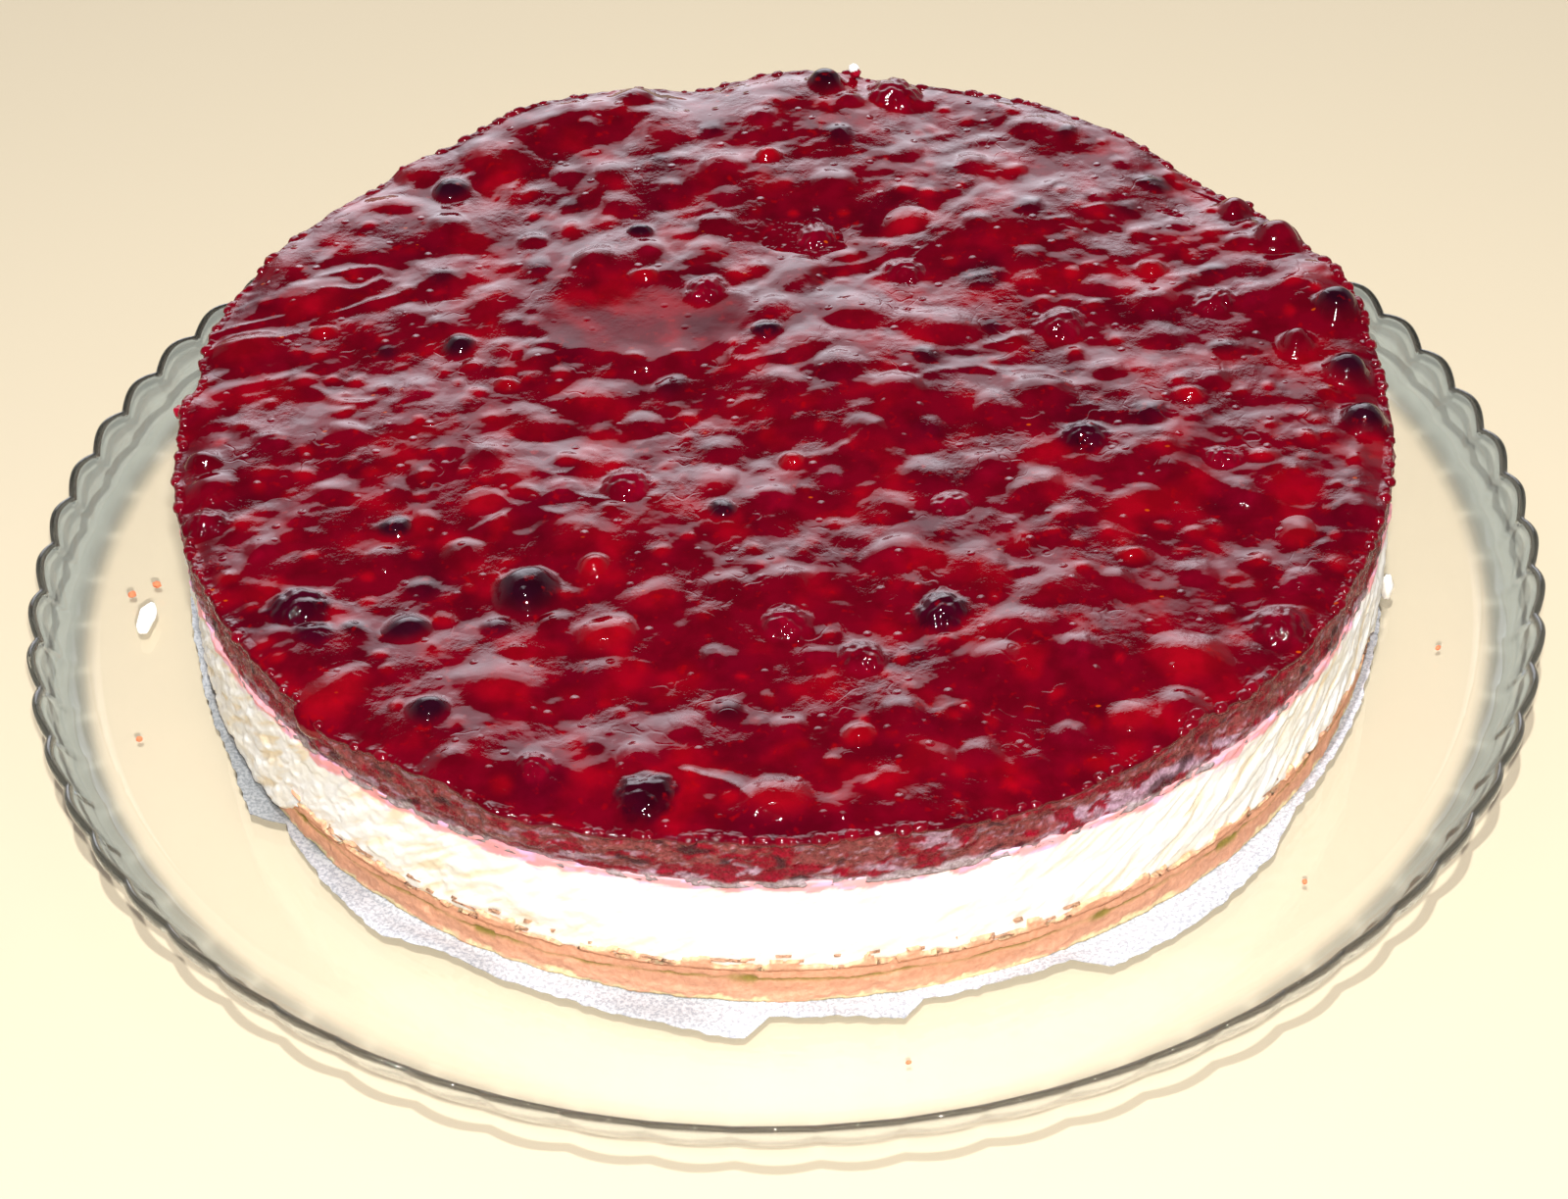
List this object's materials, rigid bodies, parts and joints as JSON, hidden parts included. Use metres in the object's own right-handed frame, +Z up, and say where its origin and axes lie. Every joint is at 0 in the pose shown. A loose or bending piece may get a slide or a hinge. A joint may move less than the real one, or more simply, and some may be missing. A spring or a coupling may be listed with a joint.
{
  "type": "berry cheesecake on a glass cake plate",
  "caption": "Round cheesecake with a crumb base, cream filling and glossy berry jelly top, on baking paper on a low fluted clear glass cake plate.",
  "frame": {"origin": "middle of the glass plate's flat underside, on the surface that it stands on", "axes": "+Z up through the cake; -Y is the side that faces the viewer of the picture; the plate is round, so X and Y are level and otherwise alike"},
  "size_m": [0.3295, 0.3295, 0.0558],
  "materials": {
    "glass": "clear pressed glass, polished",
    "paper": "greaseproof baking paper, torn edge, slightly translucent",
    "biscuit": "pressed biscuit crumb, rough and dry",
    "cream": "set cream cheese, smeared and soft",
    "jelly": "wet glossy crimson fruit jelly",
    "blueberry": "near-black berry skin under jelly",
    "bramble": "dark beaded berry, wet",
    "cherry": "dark red fruit skin, wet",
    "currant": "red berry skin, wet",
    "raspberry": "beaded red berry, wet",
    "strawberry": "bright red fruit with seeds, wet"
  },
  "bodies": {
    "root": {"baking_paper": "paper", "berry_jelly": "jelly", "biscuit_base": "biscuit", "blueberry_01": "blueberry", "blueberry_02": "blueberry", "blueberry_03": "blueberry", "blueberry_04": "blueberry", "blueberry_05": "blueberry", "blueberry_06": "blueberry", "blueberry_07": "blueberry", "blueberry_08": "blueberry", "blueberry_09": "blueberry", "blueberry_10": "blueberry", "blueberry_11": "blueberry", "blueberry_12": "blueberry", "blueberry_13": "blueberry", "bramble_01": "bramble", "bramble_02": "bramble", "bramble_03": "bramble", "bramble_04": "bramble", "cake_plate": "glass", "cherry_01": "cherry", "cherry_02": "cherry", "cherry_03": "cherry", "cherry_04": "cherry", "cream_filling": "cream", "currant_01": "currant", "currant_02": "currant", "currant_03": "currant", "currant_04": "currant", "currant_05": "currant", "currant_06": "currant", "currant_07": "currant", "currant_08": "currant", "currant_09": "currant", "currant_10": "currant", "raspberry_01": "raspberry", "raspberry_02": "raspberry", "raspberry_03": "raspberry", "raspberry_04": "raspberry", "raspberry_05": "raspberry", "raspberry_06": "raspberry", "raspberry_07": "raspberry", "raspberry_08": "raspberry", "raspberry_09": "raspberry", "raspberry_10": "raspberry", "raspberry_11": "raspberry", "raspberry_12": "raspberry", "raspberry_13": "raspberry", "raspberry_14": "raspberry", "strawberry_01": "strawberry", "strawberry_02": "strawberry", "strawberry_03": "strawberry", "strawberry_04": "strawberry", "strawberry_05": "strawberry", "strawberry_06": "strawberry", "strawberry_07": "strawberry", "strawberry_08": "strawberry"}
  },
  "joints": []
}
